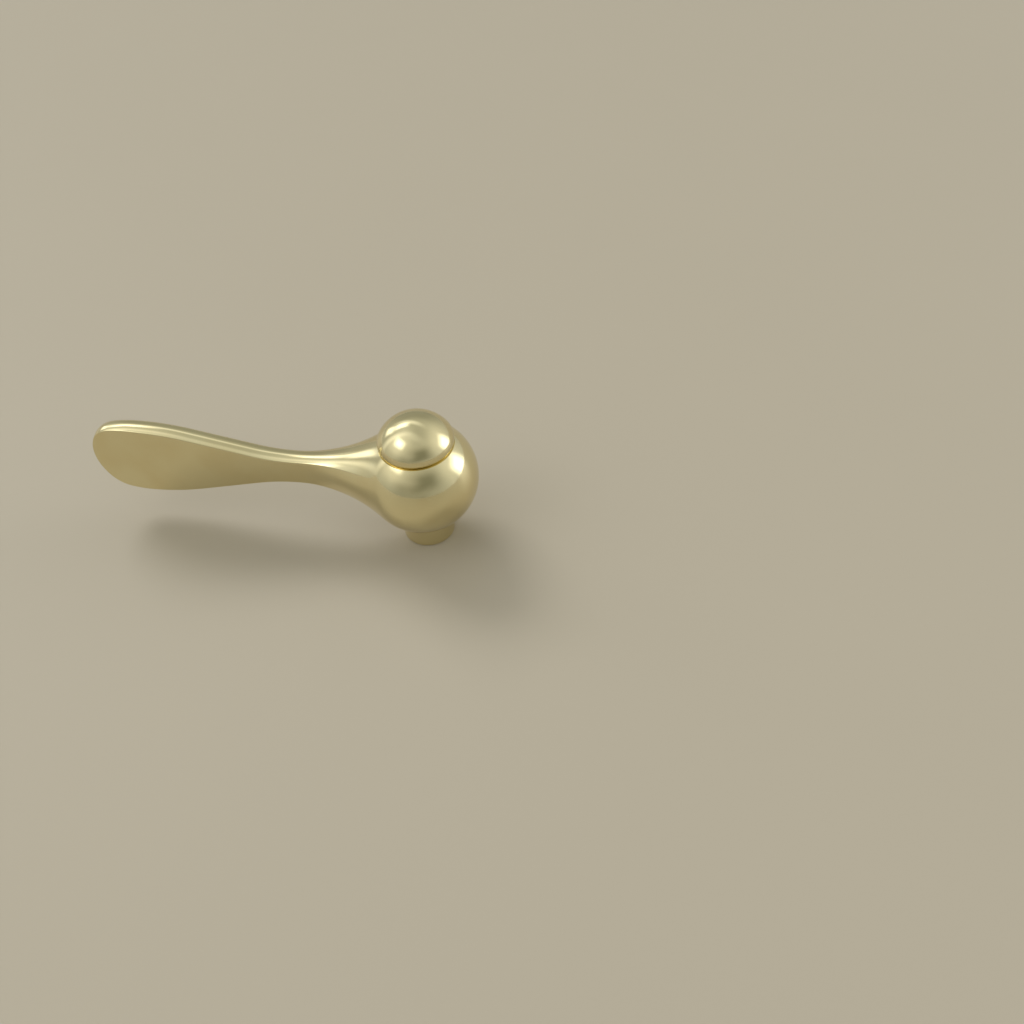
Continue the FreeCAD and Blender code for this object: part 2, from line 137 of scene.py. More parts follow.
@dataclass
class Patchwork:
    """Grids of points that are sewn together into one closed mesh."""

    name: str
    points: list[np.ndarray] = field(default_factory=list)
    quads: list[np.ndarray] = field(default_factory=list)
    total: int = 0

    def add(self, grid: np.ndarray, wrap: bool = False) -> None:
        """Take in one grid of points.

        Args:
            grid: array of rows, columns and three coordinates, in millimetres.
            wrap: whether each row closes on itself.
        """
        rows, columns, _ = grid.shape
        self.quads.append(grid_quads(rows, columns, wrap) + self.total)
        self.points.append(grid.reshape(-1, 3))
        self.total += rows * columns

    def build(self) -> bpy.types.Object:
        """Sew the grids at their shared points and turn every face outwards.

        Returns:
            The new object, linked to the scene, at the origin.
        """
        mesh = bpy.data.meshes.new(self.name)
        mesh.from_pydata(np.concatenate(self.points) * MILLIMETRE, [], np.concatenate(self.quads))
        sewn = bmesh.new()
        sewn.from_mesh(mesh)
        bmesh.ops.remove_doubles(sewn, verts=sewn.verts, dist=MERGE_DISTANCE)
        bmesh.ops.dissolve_degenerate(sewn, edges=sewn.edges, dist=MERGE_DISTANCE / 4)
        bmesh.ops.recalc_face_normals(sewn, faces=sewn.faces)
        open_edges = sum(1 for edge in sewn.edges if not edge.is_manifold)
        sewn.to_mesh(mesh)
        sewn.free()
        if open_edges:
            log.warning("%s has %d open edges", self.name, open_edges)
        piece = bpy.data.objects.new(self.name, mesh)
        bpy.context.scene.collection.objects.link(piece)
        return piece


def turned(profile: np.ndarray, angles: np.ndarray, swell: np.ndarray | None = None) -> np.ndarray:
    """Profile turned once round the spindle axis.

    A point's distance from the axis is the profile's distance plus the swell at its angle.

    Args:
        profile: pairs of distance from the axis and height.
        angles: angles of the copies of the profile, in radians.
        swell: distance to add, one row for each profile point and one column for each angle.

    Returns:
        Grid with a row for each profile point and a column for each angle.
    """
    distance = np.repeat(profile[:, :1], len(angles), axis=1)
    if swell is not None:
        distance = distance + swell
    height = np.repeat(profile[:, 1:], len(angles), axis=1)
    return np.stack([distance * np.cos(angles), distance * np.sin(angles), height], axis=2)


def full_turn(count: int) -> np.ndarray:
    """Angles of a whole turn, without the repeated last one."""
    return np.linspace(0.0, 2.0 * math.pi, count, endpoint=False)


def combine(base: bpy.types.Object, tool: bpy.types.Object, cut: Cut) -> None:
    """Join the tool's mesh with the base's, and remove the tool.

    Args:
        base: object that keeps the result.
        tool: closed object that is added or taken away.
        cut: which of the two is done.
    """
    modifier = base.modifiers.new("combine", "BOOLEAN")
    modifier.operation = cut.value
    modifier.solver = "EXACT"
    modifier.object = tool
    graph = bpy.context.evaluated_depsgraph_get()
    result = bpy.data.meshes.new_from_object(base.evaluated_get(graph))
    old = base.data
    base.modifiers.clear()
    base.data = result
    bpy.data.meshes.remove(old)
    spent = tool.data
    bpy.data.objects.remove(tool)
    bpy.data.meshes.remove(spent)
    result.name = base.name


def hand_over(piece: bpy.types.Object, material: bpy.types.Material, node: str) -> None:
    """Shade a finished piece, give it its finish and let it stand for its CAD node.

    Args:
        piece: the finished object.
        material: its finish.
        node: name of the CAD node that it stands for.
    """
    piece.data.shade_smooth()
    piece.data.set_sharp_from_angle(angle=SHARP_ANGLE)
    piece.data.materials.clear()
    piece.data.materials.append(material)
    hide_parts(node)
    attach(piece, BODY)
    triangles = sum(len(polygon.vertices) - 2 for polygon in piece.data.polygons)
    log.info("%s: %d triangles, stands for %s", piece.name, triangles, node)


# Finishes.

class NodeChain:
    """Short way to add shader nodes to a material and join them."""

    def __init__(self, tree: bpy.types.NodeTree) -> None:
        """Keep the tree that the nodes go into."""
        self.tree = tree

    def add(self, kind: str, operation: str = "", **inputs: object) -> bpy.types.Node:
        """Add a node and set or link its inputs.

        Args:
            kind: node type without its common prefix.
            operation: what a math node does.
            inputs: values or output sockets by input name, with _ for a space.

        Returns:
            The new node.
        """
        node = self.tree.nodes.new("ShaderNode" + kind)
        if operation:
            node.operation = operation
        self.fill(node, **inputs)
        return node

    def fill(self, node: bpy.types.Node, **inputs: object) -> None:
        """Set or link inputs of a node, by name with _ for a space."""
        for name, value in inputs.items():
            self.put(node.inputs[name.replace("_", " ")], value)

    def math(self, kind: str, operation: str, *values: object) -> bpy.types.NodeSocket:
        """Result socket of a math node, whose inputs are filled in order."""
        node = self.add(kind, operation)
        for socket, value in zip(node.inputs, values):
            self.put(socket, value)
        return node.outputs["Value" if operation == "DOT_PRODUCT" else 0]

    def step(self, value: bpy.types.NodeSocket, start: float, end: float) -> bpy.types.NodeSocket:
        """Smooth step of a value, from 0 at the start to 1 at the end."""
        node = self.add("MapRange", Value=value, From_Min=start, From_Max=end)
        node.interpolation_type = "SMOOTHSTEP"
        return node.outputs["Result"]

    def ramp(self, value: bpy.types.NodeSocket, colours: tuple[Colour, Colour],
             span: tuple[float, float] = (0.0, 1.0)) -> bpy.types.NodeSocket:
        """Colour that goes from one to another while a value crosses a span."""
        node = self.add("ValToRGB", Fac=value)
        for stop, position, colour in zip(node.color_ramp.elements, span, colours):
            stop.position, stop.color = position, colour
        return node.outputs["Color"]

    def put(self, socket: bpy.types.NodeSocket, value: object) -> None:
        """Link an output socket to an input, or set the input's own value."""
        if isinstance(value, bpy.types.NodeSocket):
            self.tree.links.new(value, socket)
        else:
            socket.default_value = value


def new_material(name: str) -> tuple[NodeChain, bpy.types.Node, bpy.types.NodeSocket]:
    """Material with one principled shader, and its object coordinates.

    Args:
        name: name of the material.

    Returns:
        The chain for further nodes, the shader node and the coordinate socket.
    """
    material = bpy.data.materials.new(name)
    material.use_nodes = True
    chain = NodeChain(material.node_tree)
    shader = material.node_tree.nodes["Principled BSDF"]
    place = chain.add("TexCoord").outputs["Object"]
    return chain, shader, place


@dataclass(frozen=True)
class PolishedBrass:
    """Pale polished brass, with faint clouding and the fine haze that a polishing mop leaves."""

    name: str = "pale_polished_brass"
    bright: Colour = (0.80, 0.715, 0.435, 1.0)
    deep: Colour = (0.765, 0.665, 0.385, 1.0)
    gloss: tuple[float, float] = (0.07, 0.12)
    cloud_scale: float = 95.0
    cloud_span: tuple[float, float] = (0.32, 0.62)
    haze_scale: float = 900.0
    haze_span: tuple[float, float] = (0.3, 0.7)
    mark_scale: float = 2600.0
    mark_strength: float = 0.25
    mark_height: float = 0.0000008

    def material(self) -> bpy.types.Material:
        """Metal whose colour drifts in soft clouds and whose gloss varies with a finer haze."""
        chain, shader, place = new_material(self.name)
        cloud = chain.add("TexNoise", Vector=place, Scale=self.cloud_scale, Detail=3.0, Roughness=0.5)
        tone = chain.ramp(cloud.outputs["Fac"], (self.deep, self.bright), self.cloud_span)
        haze = chain.add("TexNoise", Vector=place, Scale=self.haze_scale, Detail=4.0, Roughness=0.6)
        rough = chain.add("MapRange", Value=haze.outputs["Fac"], From_Min=self.haze_span[0],
                          From_Max=self.haze_span[1], To_Min=self.gloss[0], To_Max=self.gloss[1])
        marks = chain.add("TexNoise", Vector=place, Scale=self.mark_scale, Detail=2.0)
        bump = chain.add("Bump", Strength=self.mark_strength, Distance=self.mark_height,
                         Height=marks.outputs["Fac"])
        chain.fill(shader, Metallic=1.0, Base_Color=tone, Roughness=rough.outputs["Result"],
                   Normal=bump.outputs["Normal"])
        return bpy.data.materials[self.name]


@dataclass(frozen=True)
class TurnedSteel:
    """Bright screw steel with rings left by the turning tool."""

    name: str = "turned_steel"
    light: Colour = (0.62, 0.62, 0.63, 1.0)
    dark: Colour = (0.47, 0.47, 0.48, 1.0)
    gloss: tuple[float, float] = (0.22, 0.38)
    ring_scale: float = 1400.0 / 6.0
    ring_waver: float = 1.5
    ring_strength: float = 0.4
    ring_height: float = 0.000004

    def material(self) -> bpy.types.Material:
        """Metal with fine rings round the spindle axis in its tone, gloss and relief."""
        chain, shader, place = new_material(self.name)
        rings = chain.add("TexWave", Vector=place, Scale=self.ring_scale, Distortion=self.ring_waver,
                          Detail=2.0)
        rings.wave_type, rings.rings_direction = "RINGS", "Z"
        tone = chain.ramp(rings.outputs["Fac"], (self.dark, self.light))
        rough = chain.add("MapRange", Value=rings.outputs["Fac"], To_Min=self.gloss[0],
                          To_Max=self.gloss[1])
        bump = chain.add("Bump", Strength=self.ring_strength, Distance=self.ring_height,
                         Height=rings.outputs["Fac"])
        chain.fill(shader, Metallic=1.0, Base_Color=tone, Roughness=rough.outputs["Result"],
                   Normal=bump.outputs["Normal"])
        return bpy.data.materials[self.name]


@dataclass(frozen=True)
class SealRubber:
    """Black moulded rubber with a dusty bloom."""

    name: str = "black_seal_rubber"
    black: Colour = (0.016, 0.016, 0.017, 1.0)
    bloom: Colour = (0.045, 0.044, 0.042, 1.0)
    gloss: tuple[float, float] = (0.45, 0.7)
    bloom_scale: float = 700.0
    grain_scale: float = 4000.0
    grain_strength: float = 0.5
    grain_height: float = 0.000006

    def material(self) -> bpy.types.Material:
        """Dark rubber whose bloom comes in patches, with a fine moulded grain."""
        chain, shader, place = new_material(self.name)
        patch = chain.add("TexNoise", Vector=place, Scale=self.bloom_scale, Detail=4.0)
        tone = chain.ramp(patch.outputs["Fac"], (self.black, self.bloom))
        grain = chain.add("TexNoise", Vector=place, Scale=self.grain_scale, Detail=2.0)
        rough = chain.add("MapRange", Value=patch.outputs["Fac"], To_Min=self.gloss[0],
                          To_Max=self.gloss[1])
        bump = chain.add("Bump", Strength=self.grain_strength, Distance=self.grain_height,
                         Height=grain.outputs["Fac"])
        chain.fill(shader, Base_Color=tone, Roughness=rough.outputs["Result"],
                   Normal=bump.outputs["Normal"])
        return bpy.data.materials[self.name]


@dataclass(frozen=True)
class TableTop:
    """Plain satin table of a pale taupe."""

    name: str = "table_taupe"
    colour: tuple[float, float, float] = (0.456, 0.407, 0.323)
    mottle: tuple[float, float] = (0.99, 1.01)
    mottle_scale: float = 14.0
    roughness: float = 0.4
    sheen: float = 0.35

    def material(self) -> bpy.types.Material:
        """Even satin colour with a very faint mottling."""
        chain, shader, place = new_material(self.name)
        clouds = chain.add("TexNoise", Vector=place, Scale=self.mottle_scale, Detail=3.0)
        dark, light = [tuple(level * part for part in self.colour) + (1.0,) for level in self.mottle]
        tone = chain.ramp(clouds.outputs["Fac"], (dark, light))
        chain.fill(shader, Base_Color=tone, Roughness=self.roughness, Specular_IOR_Level=self.sheen)
        return bpy.data.materials[self.name]


# Pieces of the handle.

@dataclass
class Casting:
    """Hub ball, collar, flare, neck and paddle, with the socket and the cap's seat cut into them.

    Distances along the lever run from the spindle axis, and heights of the lever from its own axis,
    which goes through the ball's centre.
    """

    ball_radius: float = 14.0
    ball_height: float = 18.75
    collar_radius: float = 6.5
    collar_edge: float = 0.4
    collar_line: float = 0.3
    collar_root: float = 4.0
    neck_reach: float = 31.0
    neck_radius: float = 4.05
    flat_reach: float = 30.0
    flare_edge: float = 37.0
    side: float = 2.25
    blade_half: float = 10.7
    lever_reach: float = 84.3
    widest: float = 72.0
    waist: float = 47.0
    flank: float = 15.8
    brow: float = 26.0
    corner: float = 7.5
    tip_bow: float = 0.7
    tip_crown: float = 0.2
    relief_reach: float = 66.0
    relief_radius: float = 230.0
    relief_angle: float = 0.3
    crease_radius: float = 0.42
    crease_room: float = 1.15
    crease_least: float = 0.012
    cap_radius: float = 9.125
    seat_margin: float = 1.0
    bore_radius: float = 7.2
    bore_depth: float = 5.2
    well_radius: float = 5.0
    well_depth: float = 4.65
    web: float = 3.5
    screw_hole: float = 2.25
    lead_radius: float = 4.2
    lead_depth: float = 5.0
    crest: float = 3.65
    groove_depth: float = 0.4
    groove_count: int = 20
    groove_floor: float = 1.4
    groove_mouth: float = 6.0
    side_points: int = 56
    edge_points: int = 8
    crown_points: int = 44
    ball_stations: int = 96
    flare_stations: int = 64
    waist_points: int = 27
    flank_points: int = 17
    shoulder_points: int = 31
    brow_points: int = 17
    corner_points: int = 25
    end_points: int = 17
    collar_edge_points: int = 9
    collar_turn_points: int = 180

    def __post_init__(self) -> None:
        """Work out what follows from the sizes: flare, crown and the paddle's shoulder."""
        self.neck_face = math.sqrt(self.neck_radius ** 2 - self.side ** 2)
        self.crown = self.neck_radius - self.neck_face
        self.blade_face = self.blade_half - self.crown
        span = self.neck_reach ** 2 + self.neck_radius ** 2 - self.ball_radius ** 2
        self.flare = span / (2 * (self.ball_radius - self.neck_radius))
        self.flare_start = self.neck_reach * self.ball_radius / (self.ball_radius + self.flare)
        run, rise = self.widest - self.neck_reach, self.blade_face - self.neck_face
        both = (run ** 2 + rise ** 2 - self.flank ** 2) / (2 * rise)
        self.shoulder = both - self.waist
        self.flank_turn = math.atan2(rise - both, run) - math.atan2(self.flank, both)
        self.seat = self.ball_height + math.sqrt(self.ball_radius ** 2 - self.cap_radius ** 2)

    def bar_radius(self, along: np.ndarray) -> np.ndarray:
        """Radius of the round bar: the ball's own circle, then one hollow arc down to the neck."""
        ball = np.sqrt(np.clip(self.ball_radius ** 2 - along ** 2, 0.0, None))
        reach = np.clip(self.neck_reach - along, 0.0, self.flare)
        hollow = self.neck_radius + self.flare - np.sqrt(self.flare ** 2 - reach ** 2)
        return np.where(along <= self.flare_start, ball, hollow)

    def section_shape(self, along: np.ndarray) -> dict[str, np.ndarray]:
        """Numbers that describe the lever's section at each distance along it.

        The section is a round bar between two sides. A side is an arc through the two corners, as
        round as the bar at the ball and straight from flat_reach on. The corners wander by the same
        smooth step, and each gets a small rounding.

        Args:
            along: distances from the spindle axis.

        Returns:
            Columns of the bar's radius, the side arc's bulge, radius and centre, the rounding's depth,
            and the angles at which the rounding starts and ends.
        """
        radius = self.bar_radius(along)
        share = np.clip((along - self.flare_start) / (self.flat_reach - self.flare_start), 0.0, 1.0)
        flatness = smooth_step(share)
        flat_radius = self.bar_radius(np.array([self.flat_reach]))[0]
        edge = math.radians(self.flare_edge)
        blended = edge + (math.acos(self.side / flat_radius) - edge) * flatness
        straight = np.arccos(np.clip(self.side / np.maximum(radius, LEAST_RADIUS), -1.0, 1.0))
        angle = np.where(share < 1.0, blended, straight)
        half, high = radius * np.cos(angle), radius * np.sin(angle)
        bow = np.maximum((radius - half) * (1.0 - flatness), LEAST_BOW)
        side_radius = (bow ** 2 + high ** 2) / (2.0 * bow)
        centre = half + bow - side_radius
        kink = np.maximum(angle - np.arctan2(high, half - centre), 0.0)
        depth = BLEND_SHARE * self.crease_radius * (1.0 / np.cos(kink / 2.0) - 1.0)
        width = self.crease_room * depth / np.maximum(radius * np.tan(kink), LEAST_SLOPE)
        width = np.maximum(width, self.crease_least)
        shape = {"radius": radius, "bulge": half + bow, "side_radius": side_radius, "centre": centre,
                 "depth": depth, "first": angle - width, "last": angle + width}
        return {name: column[:, None] for name, column in shape.items()}

    def section_angles(self, first: np.ndarray, last: np.ndarray) -> np.ndarray:
        """Angles round a section, one row for each station: back side, top, front side, bottom.

        Along a side the tangent of the angle goes in eased steps. The roundings have points of their
        own, and the crown between them has even steps.
        """
        side = np.arctan(np.tan(first) * eased_steps(self.side_points)[None, :])
        edge = np.linspace(0.0, 1.0, self.edge_points + 1)[None, 1:]
        rising = first + (last - first) * edge
        crown = last + (math.pi - 2.0 * last) * np.linspace(0.0, 1.0, self.crown_points + 1)[None, 1:-1]
        top = np.concatenate([rising, crown, math.pi - rising[:, ::-1]], axis=1)
        return np.concatenate([side, top, math.pi + side, math.pi + top], axis=1)

    def section_distance(self, shape: dict[str, np.ndarray], angles: np.ndarray) -> np.ndarray:
        """Distance of the section's points from the lever's axis.

        It is the smaller of the bar's radius and the distance to the side's arc, softened where the
        two differ by less than the rounding's depth.
        """
        bulge, side_radius, centre = shape["bulge"], shape["side_radius"], shape["centre"]
        slope = np.sqrt(np.maximum(side_radius ** 2 - (centre * np.sin(angles)) ** 2, 0.0))
        reach = bulge * (2.0 * side_radius - bulge) / (slope - centre * np.abs(np.cos(angles)))
        depth = np.maximum(shape["depth"], LEAST_DEPTH)
        near = np.clip(depth - np.abs(reach - shape["radius"]), 0.0, None) / depth
        return np.minimum(reach, shape["radius"]) - near * near * depth / BLEND_SHARE

    def ball_and_neck(self) -> np.ndarray:
        """Grid of sections from the ball's far pole to the end of the neck."""
        turn = math.acos(-self.flare_start / self.ball_radius)
        ball = -self.ball_radius * np.cos(np.linspace(0.0, turn, self.ball_stations))
        flare = np.linspace(self.flare_start, self.neck_reach, self.flare_stations + 1)[1:]
        along = np.concatenate([ball, flare])
        shape = self.section_shape(along)
        angles = self.section_angles(shape["first"], shape["last"])
        distance = self.section_distance(shape, angles)
        return np.stack([
            np.repeat(-along[:, None], angles.shape[1], axis=1),
            distance * np.cos(angles),
            self.ball_height + distance * np.sin(angles),
        ], axis=2)

    def outline(self, offset: float) -> np.ndarray:
        """Paddle's upper outline from the neck to the middle of the tip, moved outwards by an offset.

        It is a hollow waist arc, a straight flank, a shoulder arc up to the widest place, a rounder
        brow arc, a corner arc and half of the end arc, each tangent to the next. A point of an arc is
        its centre plus its radius times the cosine and sine of an evenly growing angle.

        Args:
            offset: how far the outline lies outside that of the flat sides, less at the tip.

        Returns:
            Rows of reach along the lever and height above its axis.
        """
        tip_share = self.tip_crown / self.crown if offset > 0.0 else 1.0
        tip = self.lever_reach - self.tip_crown + offset * tip_share
        tip_length = self.corner + self.tip_bow
        lean = tip - tip_length - self.widest
        brow_foot = self.blade_face - self.brow
        corner_height = brow_foot + math.sqrt((self.brow + offset - self.corner) ** 2 - lean ** 2)
        end = (tip_length ** 2 + corner_height ** 2 - self.corner ** 2) / (2 * self.tip_bow)
        brow_turn = math.degrees(math.atan2(corner_height - brow_foot, lean))
        end_turn = math.degrees(math.atan2(corner_height, self.widest + lean - tip + end))
        flank_turn = math.degrees(self.flank_turn)
        waist = arc_points((self.neck_reach, self.neck_face + self.waist), self.waist - offset,
                           -90.0, flank_turn, self.waist_points)
        shoulder = arc_points((self.widest, self.blade_face - self.shoulder), self.shoulder + offset,
                              flank_turn + 180.0, 90.0, self.shoulder_points)
        steps = np.linspace(0.0, 1.0, self.flank_points)[1:-1, None]
        flank = waist[-1] + (shoulder[0] - waist[-1]) * steps
        brow = arc_points((self.widest, brow_foot), self.brow + offset, 90.0, brow_turn,
                          self.brow_points)
        corner = arc_points((self.widest + lean, corner_height), self.corner, brow_turn, end_turn,
                            self.corner_points)
        last = arc_points((tip - end, 0.0), end, end_turn, 0.0, self.end_points)
        return np.concatenate([waist, flank, shoulder, brow[1:], corner[1:], last[1:]])

    def half_thickness(self, reach: np.ndarray) -> np.ndarray:
        """Half of the paddle's thickness: level, then falling on a large circle towards the tip."""
        angle = math.radians(self.relief_angle)
        centre = self.relief_reach - self.relief_radius * math.sin(angle)
        foot = self.side - self.relief_radius * math.cos(angle)
        curve = foot + np.sqrt(self.relief_radius ** 2 - (reach - centre) ** 2)
        return np.where(reach > self.relief_reach, curve, self.side)

    def crown_height(self, across: np.ndarray) -> np.ndarray:
        """Height of the crown over the edge of a flat side, which is the neck's own circle."""
        return np.sqrt(self.neck_radius ** 2 - across ** 2) - self.neck_face

    def crown_band(self) -> np.ndarray:
        """Rounded edge of the paddle: the neck's top profile carried along the outline and back below.

        A point is the base outline's, moved out by the profile's rise. Where the paddle thins, the
        profile shrinks across and slides up the crown's circle.
        """
        shape = self.section_shape(np.array([self.neck_reach]))
        angles = self.section_angles(shape["first"], shape["last"])
        distance = self.section_distance(shape, angles)
        count = 2 * self.edge_points + self.crown_points
        span = slice(self.side_points - 1, self.side_points + count)
        across = (distance * np.cos(angles))[:, span]
        rise = (distance * np.sin(angles))[:, span] - self.neck_face

        base, inset = self.outline(0.0), -float(rise.min())
        growth = (self.outline(self.crown) - base) / self.crown
        shrink = (base - self.outline(-inset)) / inset
        thinned = across * self.half_thickness(base[:, :1]) / self.side
        rise = rise + self.crown_height(thinned) - self.crown_height(across)
        above, below = np.maximum(rise, 0.0)[..., None], np.minimum(rise, 0.0)[..., None]
        upper = base[:, None] + growth[:, None] * above + shrink[:, None] * below
        lower = upper[-2::-1] * np.array([1.0, -1.0])
        place = np.concatenate([upper, lower])
        return np.stack([-place[..., 0], np.concatenate([thinned, thinned[-2::-1]]),
                         self.ball_height + place[..., 1]], axis=2)

    def flat_face(self, edge: np.ndarray) -> np.ndarray:
        """Broad side of the paddle: upright lines from one edge of the crown band to its mirror image.

        Args:
            edge: points of the band's edge along the upper outline.

        Returns:
            Grid with a row for each point of the edge.
        """
        steps = eased_steps(self.side_points)
        height = self.ball_height + (edge[:, 2:] - self.ball_height) * steps
        return np.stack([np.repeat(edge[:, :1], len(steps), axis=1),
                         np.repeat(edge[:, 1:2], len(steps), axis=1), height], axis=2)

    def collar(self) -> bpy.types.Object:
        """Collar under the ball, turned from a profile with a rounded lower edge.

        A fine line is cut where the collar meets the ball.
        """
        edge = arc_points((self.collar_radius - self.collar_edge, self.collar_edge), self.collar_edge,
                          -90.0, 0.0, self.collar_edge_points)
        inside = self.ball_height - self.ball_radius + self.collar_root
        bed = self.collar_radius - self.collar_line
        top = self.ball_height - math.sqrt(self.ball_radius ** 2 - bed ** 2) - self.collar_line
        stem = [(self.collar_radius, top), (bed, top), (bed, inside), (0.0, inside)]
        profile = np.concatenate([[(0.0, 0.0)], edge, stem])
        work = Patchwork("collar")
        work.add(turned(profile, full_turn(self.collar_turn_points)), wrap=True)
        return work.build()

    def socket_core(self) -> bpy.types.Object:
        """All that is hollow on the spindle axis: bore, grooved socket, screw hole, well and cap seat.

        A groove has a level floor and straight flanks over the angle round the axis.
        """
        pitch = 360.0 / self.groove_count
        stops = np.array([-pitch / 2, -(pitch / 2 + self.groove_mouth) / 2, -self.groove_mouth,
                          -self.groove_floor, self.groove_floor, self.groove_mouth,
                          (pitch / 2 + self.groove_mouth) / 2])
        flank = self.groove_mouth - self.groove_floor
        share = np.clip((self.groove_mouth - np.abs(stops)) / flank, 0, 1)
        angles = np.radians((np.arange(self.groove_count)[:, None] * pitch + stops[None, :]).ravel())
        grooves = np.tile(share * self.groove_depth, self.groove_count)
        floor = self.seat - self.bore_depth
        web_top = floor - self.well_depth
        web_foot = web_top - self.web
        spot = self.cap_radius + self.seat_margin
        over = self.ball_height + self.ball_radius + CUT_RUN_OUT
        profile = np.array([
            (0.0, -CUT_RUN_OUT), (self.lead_radius, -CUT_RUN_OUT), (self.lead_radius, self.lead_depth),
            (self.crest, self.lead_depth), (self.crest, web_foot), (self.screw_hole, web_foot),
            (self.screw_hole, web_top), (self.well_radius, web_top), (self.well_radius, floor),
            (self.bore_radius, floor), (self.bore_radius, self.seat), (spot, self.seat), (spot, over),
            (0.0, over),
        ])
        swell = np.zeros((len(profile), len(angles)))
        swell[profile[:, 0] == self.crest] = grooves
        work = Patchwork("socket_core")
        work.add(turned(profile, angles, swell), wrap=True)
        return work.build()

    def build(self, brass: bpy.types.Material) -> None:
        """Sew the outer skin, add the collar, take the socket core away and dress the result."""
        skin = Patchwork("handle_casting")
        skin.add(self.ball_and_neck(), wrap=True)
        band = self.crown_band()
        skin.add(band)
        upper = band[:len(band) // 2 + 1]
        skin.add(self.flat_face(upper[:, 0]))
        skin.add(self.flat_face(upper[:, -1]))
        piece = skin.build()
        combine(piece, self.collar(), Cut.ADD)
        combine(piece, self.socket_core(), Cut.TAKE_AWAY)
        hand_over(piece, brass, "handle_body")


@dataclass
class IndexCap:
    """Domed cap with a rounded rim, a spigot with the seal's groove and a drilled hollow."""

    seat: float
    radius: float = 9.125
    rise: float = 7.65
    wall: float = 1.2
    shoulder: float = 3.0
    rim: float = 1.2
    spigot: float = 7.1
    spigot_foot: float = 4.8
    spigot_edge: float = 0.3
    groove_bed: float = 6.1
    groove_width: float = 1.56
    hollow: float = 5.0
    hollow_rise: float = 2.5
    drill_angle: float = 118.0
    rim_points: int = 17
    shoulder_points: int = 32
    crown_points: int = 52
    turn_points: int = 240

    def profile(self) -> np.ndarray:
        """Pairs of distance and height from the hollow's point, round the spigot, to the dome's pole.

        From below, the dome is a rounded rim, a short upright wall, a shoulder arc tangent to it and a
        large crown arc with its centre on the axis.
        """
        inset, dome = self.radius - self.shoulder, self.rise - self.wall
        crown = (inset ** 2 + dome ** 2 - self.shoulder ** 2) / (2 * (dome - self.shoulder))
        turn = math.degrees(math.atan2(crown - dome, inset))
        foot = -self.spigot_foot
        groove_foot, groove_top = (foot - self.groove_width) / 2, (foot + self.groove_width) / 2
        point = self.hollow_rise + self.hollow / math.tan(math.radians(self.drill_angle / 2))
        inside = [
            (0.0, point), (self.hollow, self.hollow_rise), (self.hollow, foot),
            (self.spigot - self.spigot_edge, foot), (self.spigot, foot + self.spigot_edge),
            (self.spigot, groove_foot), (self.groove_bed, groove_foot),
            (self.groove_bed, groove_top), (self.spigot, groove_top), (self.spigot, 0.0),
        ]
        rim = arc_points((self.radius - self.rim, self.rim), self.rim, -90.0, 0.0, self.rim_points)
        shoulder = arc_points((inset, self.wall), self.shoulder, 0.0, turn, self.shoulder_points)
        top = arc_points((0.0, self.rise - crown), crown, turn, 90.0, self.crown_points)[1:]
        top[-1, 0] = 0.0
        return np.concatenate([inside, rim, shoulder, top]) + np.array([0.0, self.seat])

    def build(self, brass: bpy.types.Material) -> None:
        """Turn the profile and dress it."""
        work = Patchwork("domed_cap")
        work.add(turned(self.profile(), full_turn(self.turn_points)), wrap=True)
        hand_over(work.build(), brass, "index_cap")


